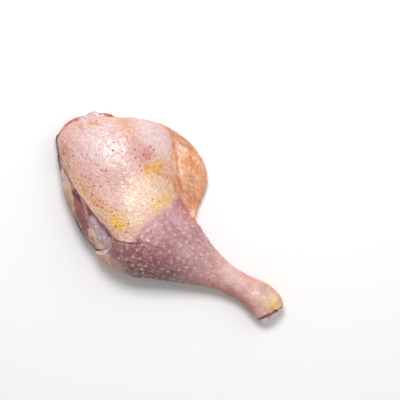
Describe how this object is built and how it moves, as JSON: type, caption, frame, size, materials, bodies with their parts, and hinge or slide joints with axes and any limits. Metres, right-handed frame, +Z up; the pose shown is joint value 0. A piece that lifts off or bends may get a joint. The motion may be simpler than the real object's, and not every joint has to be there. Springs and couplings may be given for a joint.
{
  "type": "raw duck leg",
  "caption": "Raw poultry leg with the skin on: thigh, drumstick and shank with a loose flap of skin, meat bared over the knee and the joints' ends showing at both cuts.",
  "frame": {"origin": "centre of the leg's bounding box, on the surface that it lies on", "axes": "+X along the leg from the cut hip to the hock, +Y towards the loose flap of skin, +Z up from the cut side to the skin side"},
  "size_m": [0.1994, 0.1018, 0.0414],
  "materials": {
    "skin": "moist raw skin, pale pink with yellow fat showing through, mauve on the drumstick",
    "meat": "moist raw meat, dark red with paler fat and silverskin",
    "bone": "smooth bluish-white gristle"
  },
  "bodies": {
    "root": {"skin": "skin", "meat": "meat", "shin_bone": "bone", "thigh_bone": "bone"}
  },
  "joints": []
}
